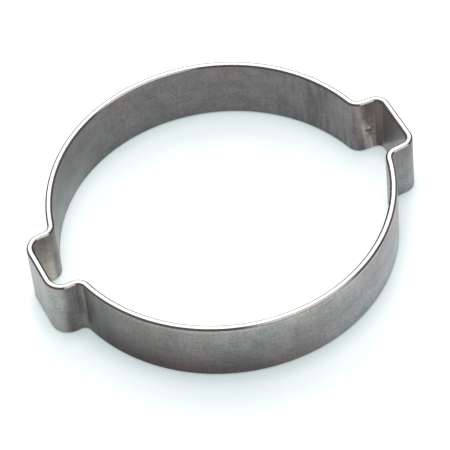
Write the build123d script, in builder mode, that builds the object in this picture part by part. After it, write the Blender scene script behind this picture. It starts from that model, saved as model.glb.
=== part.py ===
from build123d import *
import math
import os

os.makedirs("parts", exist_ok=True)

# Double-ear hose clamp: one closed steel band with two ears pressed outwards, on +X and on -X.
# The origin is on the bore's axis, at the band's bottom rim. +Z runs along the bore.
# Sizes are in millimetres and degrees.

# The band.
bore_diameter = 43.0
band_thickness = 0.9
band_width = 9.0
outer_rim_radius = 0.25
inner_rim_chamfer = 0.2

# Both ears: how far a crown stands out from the ring, and the bend where a leg leaves the ring.
ear_rise = 3.3
foot_bend_radius = 1.0

# The ear on +X. Its width is over the metal, its bend radius is inside the bend, and its legs lean
# towards each other on the way to the crown.
right_crown_width = 9.6
right_leg_lean = 4.4
right_bend_radius = 1.0

# The ear on -X is wider at its crown than at its foot, with rounder bends.
left_crown_width = 10.4
left_leg_lean = -5.2
left_bend_radius = 1.6

# Sizes that follow from them.
outer_radius = bore_diameter / 2 + band_thickness
crown_x = outer_radius + ear_rise
ear_depth = ear_rise + outer_radius / 2
foot_bend = min(foot_bend_radius, ear_rise / 3)

def wide_end(crown_width, leg_lean):
    """Width of an ear's blank at its wider end, which is its root when the legs lean towards each other."""
    return crown_width + 2 * ear_depth * max(0.0, math.tan(math.radians(leg_lean)))

def crown_bend(bend_radius, crown_width):
    """Outside radius of a crown's bends, which leaves room for the other bends of its leg and crown."""
    return min(bend_radius + band_thickness, crown_width / 4, 0.8 * ear_rise)

# The outside of the band, seen along the bore.
with BuildSketch() as outline:
    Circle(outer_radius)
    with Locations(Location((crown_x, 0, 0), (0, 0, 90))):
        right_width = wide_end(right_crown_width, right_leg_lean)
        Trapezoid(right_width, ear_depth, 90 + right_leg_lean, align=(Align.CENTER, Align.MIN))
    with Locations(Location((-crown_x, 0, 0), (0, 0, -90))):
        left_width = wide_end(left_crown_width, left_leg_lean)
        Trapezoid(left_width, ear_depth, 90 + left_leg_lean, align=(Align.CENTER, Align.MIN))

    # The bends of the strip: four at the feet, then two at each crown.
    fillet(outline.vertices().filter_by(lambda v: abs(v.X) < outer_radius), radius=foot_bend)
    right_corners = outline.vertices().group_by(Axis.X)[-1]
    fillet(right_corners, radius=crown_bend(right_bend_radius, right_crown_width))
    left_corners = outline.vertices().group_by(Axis.X)[0]
    fillet(left_corners, radius=crown_bend(left_bend_radius, left_crown_width))

band_path = outline.face().outer_wire()

with BuildPart() as clamp_band:
    # The strip's section hangs inwards from the outline: its length is along Z.
    with BuildSketch(Plane(origin=band_path @ 0, x_dir=(0, 0, 1), z_dir=band_path % 0)) as section:
        Rectangle(band_width, band_thickness, align=(Align.MIN, Align.MAX))
        fillet(section.vertices().group_by(Axis.Y)[-1], radius=outer_rim_radius)
        chamfer(section.vertices().group_by(Axis.Y)[0], length=inner_rim_chamfer)
    sweep(path=band_path)

clamp_band.part.label = "clamp_band"
export_step(clamp_band.part, "parts/clamp_band.step")
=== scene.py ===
import math

import bpy
from mathutils import Matrix, Vector


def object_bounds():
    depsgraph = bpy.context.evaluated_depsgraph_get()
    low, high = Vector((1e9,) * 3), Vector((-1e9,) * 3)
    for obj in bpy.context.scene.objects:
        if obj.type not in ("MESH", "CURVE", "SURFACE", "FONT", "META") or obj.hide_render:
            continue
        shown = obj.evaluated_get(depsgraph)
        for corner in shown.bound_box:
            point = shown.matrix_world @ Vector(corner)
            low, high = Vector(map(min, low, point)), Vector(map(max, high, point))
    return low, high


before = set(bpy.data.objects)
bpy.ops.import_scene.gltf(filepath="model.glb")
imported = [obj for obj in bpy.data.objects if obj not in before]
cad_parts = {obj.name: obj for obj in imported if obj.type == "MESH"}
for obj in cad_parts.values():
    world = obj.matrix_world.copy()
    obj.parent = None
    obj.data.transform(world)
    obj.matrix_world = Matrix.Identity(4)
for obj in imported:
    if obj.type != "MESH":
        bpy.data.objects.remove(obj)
CAD_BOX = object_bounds()
MILLIMETRES = 1000.0

# The view: angles in degrees, lengths in metres, and the lens and the ring's place in the image's own pixels.
IMAGE_SIZE = 450
SENSOR_WIDTH = 36.0
RING_RADIUS = 0.02195
VIEW_AZIMUTH = -20.59
VIEW_ELEVATION = 50.23
VIEW_ROLL = 6.63
VIEW_DISTANCE = 17.15 * RING_RADIUS
PIXELS_PER_RADIUS = 169.81
CENTRE_OFFSET = (0.71, 10.71)
VIEW_DEPTH = 10.0

# The band's own places, in millimetres: its upper rim's height, and the crown's face inside the right ear.
WALL = 0.9
BAND_TOP = MILLIMETRES * CAD_BOX[1][2]
CROWN_INSIDE = MILLIMETRES * CAD_BOX[1][0] - WALL

# The steel before it is painted: its faces as rolled, and its cut rims, with their edges and flats.
ROLLED_GREY = (0.216, 0.209, 0.208, 1)
CUT_GREY = (0.62, 0.61, 0.59, 1)
FACE_ROUGHNESS = 0.38
EDGE_ROUGHNESS = 0.27
FLAT_ROUGHNESS = 0.17
RIM_TEXTURE_LOSS = 0.7
BUMP_STRENGTH = 0.3
BUMP_HEIGHT = 0.00003
CORNER_RADIUS = 0.0003
CORNER_SAMPLES = 8
NOISE_ROUGHNESS = 0.55

# The studio: a floor that reads as white where no shadow falls, and lamps that stand at one distance.
FLOOR_SIZE = 4.0
FLOOR_DROP = 0.00001
FLOOR_COLOUR = (0.8, 0.77, 0.76, 1)
FLOOR_GLOW_COLOUR = (0.73, 0.985, 1.0, 1)
FLOOR_GLOW = 0.365
LAMP_DISTANCE = 0.6
WORLD_SEEN = 1.0
WORLD_LIGHT = 0.08

# What keeps a square root above zero where a surface lies level.
ROOT_GUARD = 0.0001

# A Mix node's sockets for numbers and for colours: its share and the two things it mixes, and its result.
MIX_INPUTS = {"FLOAT": (0, 2, 3), "RGBA": (0, 6, 7)}
MIX_RESULT = {"FLOAT": 0, "RGBA": 2}


def set_camera():
    """Looks down on the clamp along the view's azimuth and elevation, with the image turned by the roll."""
    azimuth, elevation, roll = (math.radians(a) for a in (VIEW_AZIMUTH, VIEW_ELEVATION, VIEW_ROLL))
    back = Vector((
        math.sin(azimuth) * math.cos(elevation),
        -math.cos(azimuth) * math.cos(elevation),
        math.sin(elevation),
    ))
    right = (-back).cross(Vector((0, 0, 1))).normalized()
    up = right.cross(-back)
    rolled_right = math.cos(roll) * right - math.sin(roll) * up
    rolled_up = math.sin(roll) * right + math.cos(roll) * up
    data = bpy.data.cameras.new("view")
    camera = bpy.data.objects.new("view", data)
    bpy.context.scene.collection.objects.link(camera)
    turn = Matrix((rolled_right, rolled_up, back)).transposed()
    camera.matrix_world = Matrix.Translation(back * VIEW_DISTANCE) @ turn.to_4x4()
    data.sensor_width = SENSOR_WIDTH
    data.lens = SENSOR_WIDTH * PIXELS_PER_RADIUS * VIEW_DISTANCE / RING_RADIUS / IMAGE_SIZE
    data.shift_x = -CENTRE_OFFSET[0] / IMAGE_SIZE
    data.shift_y = CENTRE_OFFSET[1] / IMAGE_SIZE
    data.clip_end = VIEW_DEPTH
    bpy.context.scene.camera = camera


class Nodes:
    """A node tree, with one method for each kind of sum, mask or mix that the script uses."""

    def __init__(self, tree):
        self.tree = tree

    def add(self, kind, settings=None, **inputs):
        """Adds a node with its settings, and sets its inputs by name."""
        node = self.tree.nodes.new(kind)
        for name, value in (settings or {}).items():
            setattr(node, name, value)
        for name, value in inputs.items():
            self.put(node, name, value)
        return node

    def put(self, node, socket, value):
        """Sets an input by its name or number, from a number, a colour or another node's output."""
        if isinstance(value, bpy.types.NodeSocket):
            self.tree.links.new(value, node.inputs[socket])
        else:
            node.inputs[socket].default_value = value

    def calc(self, operation, first, second=0.0, clamp=False):
        """One step of arithmetic with numbers or other nodes' outputs."""
        node = self.add("ShaderNodeMath", {"operation": operation, "use_clamp": clamp})
        self.put(node, 0, first)
        self.put(node, 1, second)
        return node.outputs[0]

    def split(self, vector):
        """A vector's three parts."""
        return self.add("ShaderNodeSeparateXYZ", Vector=vector).outputs

    def total(self, *terms):
        """Adds up outputs, each times a number: total((a, 0.5), (b, 2.0))."""
        result = None
        for value, factor in terms:
            term = self.calc("MULTIPLY", value, factor)
            result = term if result is None else self.calc("ADD", result, term)
        return result

    def all_of(self, *shares):
        """Multiplies masks, so that the result is 1 only where each of them is."""
        result = shares[0]
        for share in shares[1:]:
            result = self.calc("MULTIPLY", result, share)
        return result

    def without(self, share):
        """The rest of a mask: 1 where it is 0."""
        return self.calc("SUBTRACT", 1.0, share)

    def ramp(self, value, start, end, at_start=0.0, at_end=1.0):
        """Eases from one number to another while the value goes from its start to its end."""
        node = self.add("ShaderNodeMapRange", {"interpolation_type": "SMOOTHSTEP"}, Value=value)
        for name, number in (
            ("From Min", start),
            ("From Max", end),
            ("To Min", at_start),
            ("To Max", at_end),
        ):
            self.put(node, name, number)
        return node.outputs["Result"]

    def near(self, value, middle, reach):
        """A mask that is 1 where a value is at its middle and fades out at its reach."""
        away = self.calc("ABSOLUTE", self.calc("SUBTRACT", value, middle))
        return self.ramp(away, 0.0, reach, 1.0, 0.0)

    def mix(self, kind, share, first, second, settings=None):
        """Goes from one number or colour to another with a mask."""
        node = self.add("ShaderNodeMix", {"data_type": kind, **(settings or {})})
        for socket, value in zip(MIX_INPUTS[kind], (share, first, second)):
            self.put(node, socket, value)
        return node.outputs[MIX_RESULT[kind]]

    def seen(self):
        """1 on rays that look, reflect or pass through, and 0 on rays that gather light."""
        rays = self.add("ShaderNodeLightPath").outputs
        looked_at = self.calc("ADD", rays["Is Camera Ray"], rays["Is Glossy Ray"])
        return self.calc("ADD", looked_at, rays["Is Transmission Ray"], clamp=True)


class Finish(Nodes):
    """A material with one shader."""

    def __init__(self, name):
        self.material = bpy.data.materials.new(name)
        self.material.use_nodes = True
        super().__init__(self.material.node_tree)
        self.shader = self.tree.nodes["Principled BSDF"]


class BandFinish(Finish):
    """A finish that knows where on the band it is, and is painted in patches.

    Places are in millimetres from the ring's middle, and heights from its lower rim.
    """

    def __init__(self, name):
        super().__init__(name)
        self.place = self.add("ShaderNodeTexCoord").outputs["Object"]
        self.x, self.y, self.z = (self.calc("MULTIPLY", c, MILLIMETRES) for c in self.split(self.place))
        normal = self.add("ShaderNodeNewGeometry").outputs["Normal"]
        self.facing_x, self.facing_y, facing_z = self.split(normal)
        self.along = {"x": self.x, "y": self.y, "z": self.z, "facing_x": self.facing_x}

        # The slope is 0 on the strip's faces and 1 on the rims' flats, with the rims' edges between them.
        self.slope = self.calc("ABSOLUTE", facing_z)
        self.rim = self.ramp(self.slope, 0.06, 0.25)
        self.colour = self.mix("RGBA", self.rim, ROLLED_GREY, CUT_GREY)
        face = self.without(self.rim)
        outward = self.calc("MULTIPLY", self.x, self.facing_x)
        outward = self.calc("ADD", outward, self.calc("MULTIPLY", self.y, self.facing_y))
        self.outside = self.all_of(face, self.ramp(outward, -1.0, 1.0))
        self.inside = self.calc("SUBTRACT", face, self.outside)

    def noise(self, size, detail):
        """Noise about zero whose features measure the given millimetres along X, Y and Z."""
        scale = self.add("ShaderNodeMapping", {"vector_type": "POINT"}, Vector=self.place)
        scale.inputs["Scale"].default_value = [MILLIMETRES / length for length in size]
        node = self.add("ShaderNodeTexNoise", Vector=scale.outputs[0], Scale=1.0, Detail=detail,
                        Roughness=NOISE_ROUGHNESS)
        return self.calc("SUBTRACT", node.outputs["Fac"], 0.5)

    def patch(self, area, **fades):
        """A part of an area, from the places where it fades in along each axis that is named.

        It fades in from the first place to the second and, where four are given, out from the third to the
        fourth.
        """
        for name, places in fades.items():
            area = self.all_of(area, self.ramp(self.along[name], places[0], places[1]))
            if len(places) == 4:
                area = self.all_of(area, self.ramp(self.along[name], places[3], places[2]))
        return area

    def paint(self, label, area, times):
        """Multiplies the colour by another over an area, in a node that bears the label."""
        settings = {"blend_type": "MULTIPLY", "label": label}
        self.colour = self.mix("RGBA", area, self.colour, (*times, 1), settings)

    def paint_spot(self, label, area, middle, reach, times):
        """Paints a small mark, with its middle and its reach given along X and Z."""
        across = self.near(self.x, middle[0], reach[0])
        upwards = self.near(self.z, middle[1], reach[1])
        self.paint(label, self.all_of(area, across, upwards), times)


def paint_rim_shade_and_reflections(steel):
    """Each rim has a bright flat with grey borders and dark edges, both of painted shade.

    The edges carry a pale painted reflection where they face forwards, near the upper rim.
    """
    corners = steel.add("ShaderNodeBevel", {"samples": CORNER_SAMPLES}, Radius=CORNER_RADIUS)
    rounded_slope = steel.calc("ABSOLUTE", steel.split(corners.outputs[0])[2])
    core = steel.ramp(rounded_slope, 0.98, 0.9995)
    border = steel.all_of(steel.ramp(steel.slope, 0.95, 0.99), steel.without(core))
    # Painted shade: grey lines along the borders of the rim's flat.
    steel.paint("borders of the rim's flat", border, (0.17, 0.155, 0.155))

    # How far an edge faces forwards, whatever its slope.
    squared = steel.calc("MULTIPLY", steel.slope, steel.slope)
    lean = steel.calc("SQRT", steel.calc("SUBTRACT", 1.0 + ROOT_GUARD, squared))
    forwards = steel.calc("DIVIDE", steel.total((steel.facing_y, -1.0), (steel.facing_x, 0.05)), lean)
    # A pale painted reflection on the edges where they face forwards at the upper rim, and painted shade on
    # the rest.
    painted_sheen = steel.patch(steel.ramp(forwards, 0.925, 0.99), z=(BAND_TOP - 0.19, BAND_TOP - 0.1))
    edge = steel.all_of(steel.rim, steel.ramp(steel.slope, 0.985, 0.94))
    steel.paint("dark rim edges", steel.all_of(edge, steel.without(painted_sheen)), (0.13, 0.125, 0.125))
    steel.paint("pale rim edges", steel.all_of(edge, painted_sheen), (0.98, 0.97, 0.93))


def paint_ring_shade_and_reflections(steel):
    """The outer face has painted shade that is darker and warmer towards its foot, most at the front left,
    and painted reflections that lighten its upper half, its lip and its front towards the right.

    The inner face has a little painted shade at the back and the left, and a painted reflection as a light
    foot at the left.
    """
    front = steel.patch(steel.outside, y=(-3.0, -10.0))
    # Painted shade towards the foot of the front, and painted reflections higher up, along the lip and to the
    # right.
    steel.paint("front, left foot", steel.patch(front, x=(2.0, -9.0), z=(6.0, 0.5)), (0.62, 0.55, 0.56))
    steel.paint("front, foot", steel.patch(front, x=(5.0, 0.5), z=(4.0, 0.5)), (0.93, 0.87, 0.86))
    steel.paint("front, upper half", steel.patch(front, z=(4.0, BAND_TOP)), (1.34, 1.42, 1.37))
    lip = steel.all_of(front, steel.near(steel.z, BAND_TOP - 0.5, 0.3))
    steel.paint("front, lip", lip, (1.35, 1.25, 1.25))
    steel.paint("front, towards the right", steel.patch(front, x=(-8.0, 12.0)), (1.34, 1.36, 1.38))

    # Painted light and shade further right: lighter towards the foot and darker in the upper half.
    front_right = steel.patch(front, x=(0.5, 5.5))
    steel.paint("front right, foot", steel.patch(front_right, z=(5.0, 2.0)), (1.13, 1.17, 1.2))
    steel.paint("front right, upper half", steel.patch(front_right, z=(4.5, 8.5)), (0.94, 0.9, 0.91))
    right = steel.patch(steel.outside, x=(6.0, 15.0))
    steel.paint("right, foot", steel.patch(right, z=(5.0, 2.0)), (1.1, 1.12, 1.13))
    steel.paint("right, upper half", steel.patch(right, z=(4.5, 8.5)), (0.77, 0.76, 0.78))

    # Painted shade inside at the back and the left, and a painted reflection at the left foot.
    steel.paint("inside, back", steel.patch(steel.inside, y=(3.0, 10.0)), (0.8, 0.8, 0.8))
    left = steel.patch(steel.inside, x=(-9.0, -15.0))
    steel.paint("inside, left", left, (0.79, 0.79, 0.79))
    steel.paint("inside, left foot", steel.patch(left, z=(6.0, 0.5)), (1.95, 2.1, 2.1))


def paint_left_ear_shade_and_reflections(steel):
    """Painted reflections and shade: a pale crown, a dark leg and foot outside, and warm steel inside
    with painted light streaks and painted shade.
    """
    ear = steel.ramp(steel.x, -20.5, -21.5)
    crown = steel.patch(steel.all_of(ear, steel.outside), facing_x=(-0.05, -0.5))
    # Painted reflection makes the crown pale, and painted shade darkens its bend.
    steel.paint("left crown", crown, (1.42, 1.5, 1.46))
    bend = steel.patch(
        steel.outside,
        x=(-23.2, -22.9),
        y=(-4.0, -4.8, -5.8, -6.2),
        z=(1.5, 4.5),
        facing_x=(-0.03, -0.25, -0.62, -0.92),
    )
    steel.paint("left crown, bend", bend, (0.51, 0.49, 0.48))

    # Painted shade on the leg and low down on it, with a painted reflection as a light streak.
    leg = steel.patch(steel.outside, x=(-11.0, -19.0, -23.6, -24.6), y=(-3.0, -5.0))
    steel.paint("left leg", leg, (0.74, 0.73, 0.72))
    streak = steel.all_of(steel.patch(steel.outside, y=(-3.0, -4.5)), steel.near(steel.x, -22.85, 0.5))
    steel.paint("left leg, light streak", streak, (1.32, 1.3, 1.3))
    low_leg = steel.patch(steel.outside, y=(-3.5, -4.5), z=(6.0, 2.5))
    low_leg = steel.all_of(low_leg, steel.near(steel.x, -24.0, 0.9))
    steel.paint("left leg, low", low_leg, (0.68, 0.67, 0.66))

    # Painted shade at the foot's fold and past it.
    foot = steel.patch(steel.outside, x=(-18.0, -19.5))
    steel.paint("left foot, fold", steel.patch(foot, y=(-5.5, -6.0, -7.3, -8.1)), (0.62, 0.6, 0.61))
    past_fold = steel.patch(foot, y=(-7.3, -8.1, -9.0, -11.0))
    steel.paint("left foot, past the fold", past_fold, (0.77, 0.76, 0.77))

    pocket = steel.all_of(steel.inside, ear)
    # Inside: a warmer tone, painted shade in the upper half and at the foot, and a painted reflection as a
    # light streak.
    steel.paint("left pocket", pocket, (1.06, 1.0, 0.95))
    steel.paint("left pocket, upper half", steel.patch(pocket, z=(5.0, 8.5)), (0.66, 0.7, 0.67))
    streak = steel.all_of(pocket, steel.near(steel.x, -22.65, 1.0))
    steel.paint("left pocket, light streak", streak, (1.42, 1.36, 1.32))
    inner_foot = steel.patch(pocket, x=(-22.3, -21.8), z=(6.0, 4.0))
    steel.paint("left pocket, foot", inner_foot, (0.62, 0.65, 0.67))


def paint_right_leg_nick_and_painted_light(steel, pocket):
    """The back leg's inner face is dark and reddish, with painted shade low down and at its bend.

    A pale painted reflection runs along the crease, and the nick at its foot has a painted glint above it.
    """
    # Places across the leg, measured along a line that leans with the crease and bends near the top.
    near_top = steel.ramp(steel.z, 5.5, 8.5)
    steel.along["across_leg"] = steel.total((steel.x, 1.0), (steel.z, 0.12), (near_top, 0.5))
    leg = steel.patch(pocket, across_leg=(23.6, 23.85), y=(2.2, 3.2))
    steel.paint("right leg", leg, (1.75, 1.53, 1.46))
    # Painted shade low on the leg and at its bend.
    steel.paint("right leg, low", steel.patch(leg, z=(7.5, 2.5)), (0.78, 0.77, 0.77))
    steel.paint("right leg, bend", steel.patch(leg, facing_x=(-0.1, -0.4, -0.85, -0.99)), (0.42, 0.41, 0.41))

    back = steel.patch(steel.inside, y=(2.0, 3.0))
    # Painted shade beside the crease, and a painted reflection along it, brightest low down.
    beside = steel.patch(back, across_leg=(20.5, 21.8, 22.2, 22.6), z=(5.5, 4.5))
    steel.paint("beside the crease", beside, (0.8, 0.78, 0.8))
    crease = steel.patch(back, across_leg=(22.4, 23.0, 23.55, 23.78))
    steel.paint("crease", crease, (1.3, 1.25, 1.22))
    steel.paint("crease, low", steel.patch(crease, z=(6.5, 4.0)), (1.85, 1.8, 1.72))
    steel.paint_spot("nick", back, (22.97, 3.75), (0.7, 0.48), (0.25, 0.23, 0.21))
    steel.paint_spot("nick, tail", back, (23.17, 3.1), (0.25, 0.8), (0.5, 0.47, 0.44))
    # Painted glint: a bright speck above the nick.
    steel.paint_spot("nick, bright speck", back, (23.17, 4.2), (0.42, 0.38), (2.3, 2.35, 2.35))


def paint_right_ear_nick_and_painted_light(steel):
    """Painted shade in the pocket. Inside, the crown has painted shade above a line that rises towards the
    front and under the rim, and painted reflections under the line and near the bend.
    """
    pocket = steel.patch(steel.inside, x=(21.5, 22.5))
    # Painted shade in the pocket.
    steel.paint("right pocket", pocket, (0.93, 0.93, 0.93))
    paint_right_leg_nick_and_painted_light(steel, pocket)

    steel.along["above_line"] = steel.total((steel.z, 1.0), (steel.y, 1.2))
    crown = steel.patch(pocket, x=(CROWN_INSIDE - 0.5, CROWN_INSIDE - 0.1))
    near_bend = steel.patch(pocket, x=(CROWN_INSIDE - 0.4, CROWN_INSIDE - 0.1), y=(0.5, 2.5))
    # Painted reflections near the bend and low on the crown, and painted shade high on it and under the rim.
    steel.paint("right crown, near the bend", near_bend, (1.12, 1.12, 1.12))
    steel.paint("right crown, low", steel.patch(crown, above_line=(4.95, 4.35)), (1.5, 1.5, 1.48))
    high = steel.patch(crown, y=(3.0, 0.5), above_line=(4.35, 4.95))
    steel.paint("right crown, high", high, (0.76, 0.74, 0.75))
    under_rim = steel.patch(crown, z=(BAND_TOP - 0.7, BAND_TOP - 0.3))
    steel.paint("right crown, under the rim", under_rim, (0.55, 0.5, 0.57))


def paint_press_bands(steel):
    """Upright bands where the press held the ring beside the right ear."""
    held = steel.patch(steel.inside, x=(14.0, 18.0), y=(2.0, 4.0))
    bands = steel.noise((0.9, 0.9, 9.0), detail=1)
    steel.paint("press bands", steel.all_of(held, steel.ramp(bands, -0.08, 0.12)), (0.72, 0.71, 0.72))


def steel_finish():
    """Rolled steel strip: fine mottle and rolling grain on its faces, and bright cut rims.

    Painted shade and painted reflections lie over both in patches.
    """
    steel = BandFinish("rolled_steel")
    mottle = steel.noise((0.42, 0.42, 0.36), detail=3)
    speck = steel.noise((0.2, 0.2, 0.2), detail=1)
    blotch = steel.noise((2.6, 2.6, 2.0), detail=2)
    grain = steel.noise((2.5, 2.5, 0.14), detail=2)
    streak = steel.noise((0.3, 0.3, 5.0), detail=2)
    cloud = steel.noise((6.0, 6.0, 4.0), detail=1)

    paint_rim_shade_and_reflections(steel)
    steel.paint("clouds", steel.ramp(cloud, -0.15, 0.15), (1.04, 0.99, 0.98))
    paint_ring_shade_and_reflections(steel)
    paint_left_ear_shade_and_reflections(steel)
    paint_right_ear_nick_and_painted_light(steel)
    paint_press_bands(steel)

    # The texture shows in full on the faces and faintly on the rims.
    texture = steel.total((mottle, 0.9), (speck, 0.5), (blotch, 0.5), (grain, 0.5), (streak, 0.3))
    share = steel.without(steel.calc("MULTIPLY", steel.rim, RIM_TEXTURE_LOSS))
    tone = steel.calc("ADD", 1.0, steel.calc("MULTIPLY", texture, share))
    colour = steel.add("ShaderNodeVectorMath", {"operation": "SCALE"}, Scale=tone)
    steel.put(colour, 0, steel.colour)
    steel.put(steel.shader, "Base Color", colour.outputs[0])

    face = steel.calc("ADD", FACE_ROUGHNESS, steel.total((mottle, 0.3), (speck, 0.1)))
    rough = steel.mix("FLOAT", steel.rim, face, EDGE_ROUGHNESS)
    rough = steel.mix("FLOAT", steel.ramp(steel.slope, 0.85, 0.97), rough, FLAT_ROUGHNESS)
    steel.put(steel.shader, "Roughness", rough)
    steel.put(steel.shader, "Metallic", 1.0)

    height = steel.total((mottle, 0.6), (grain, 0.4), (speck, 0.2))
    bump = steel.add("ShaderNodeBump", Strength=BUMP_STRENGTH, Distance=BUMP_HEIGHT, Height=height)
    steel.put(steel.shader, "Normal", bump.outputs[0])
    return steel.material


def make_floor():
    """A matt white floor, with a glow that only the eye and reflections meet."""
    bpy.ops.object.select_all(action="DESELECT")
    bpy.ops.mesh.primitive_plane_add(size=FLOOR_SIZE, location=(0, 0, -FLOOR_DROP))
    floor = bpy.context.object
    floor.name = "floor"
    white = Finish("floor_white")
    white.put(white.shader, "Base Color", FLOOR_COLOUR)
    white.put(white.shader, "Roughness", 1.0)
    white.put(white.shader, "Specular IOR Level", 0.0)
    white.put(white.shader, "Emission Color", FLOOR_GLOW_COLOUR)
    white.put(white.shader, "Emission Strength", white.calc("MULTIPLY", white.seen(), FLOOR_GLOW))
    floor.data.materials.append(white.material)


def make_world():
    """White where it is seen or reflected, and a faint light otherwise."""
    world = bpy.data.worlds.new("studio")
    bpy.context.scene.world = world
    world.use_nodes = True
    nodes = Nodes(world.node_tree)
    background = nodes.tree.nodes["Background"]
    nodes.put(background, "Color", (1, 1, 1, 1))
    nodes.put(background, "Strength", nodes.mix("FLOAT", nodes.seen(), WORLD_LIGHT, WORLD_SEEN))


def soft_box(name, direction, size, radiance, in_reflections):
    """A rectangular lamp at a direction from the clamp, facing it."""
    data = bpy.data.lights.new(name, "AREA")
    data.shape = "RECTANGLE"
    data.size, data.size_y = size
    data.energy = radiance * math.pi * size[0] * size[1]
    lamp = bpy.data.objects.new(name, data)
    bpy.context.scene.collection.objects.link(lamp)
    lamp.visible_glossy = in_reflections
    facing = Vector(direction).normalized()
    lamp.location = facing * LAMP_DISTANCE
    lamp.rotation_euler = facing.to_track_quat("Z", "Y").to_euler()


def make_lamps():
    """One lamp that the rims reflect, and two that shape the floor's shadow."""
    soft_box("window", (0.22, 0.58, 0.77), size=(0.3, 0.3), radiance=1.5, in_reflections=True)
    soft_box("sky", (0.22, 0.58, 0.79), size=(1.0, 0.45), radiance=1.75, in_reflections=False)
    soft_box("overhead", (0.0, 0.0, 1.0), size=(0.3, 0.3), radiance=8.0, in_reflections=False)


bpy.context.scene.view_settings.view_transform = "Standard"
set_camera()
band = bpy.data.objects["clamp_band"]
band.data.materials.clear()
band.data.materials.append(steel_finish())
make_floor()
make_world()
make_lamps()
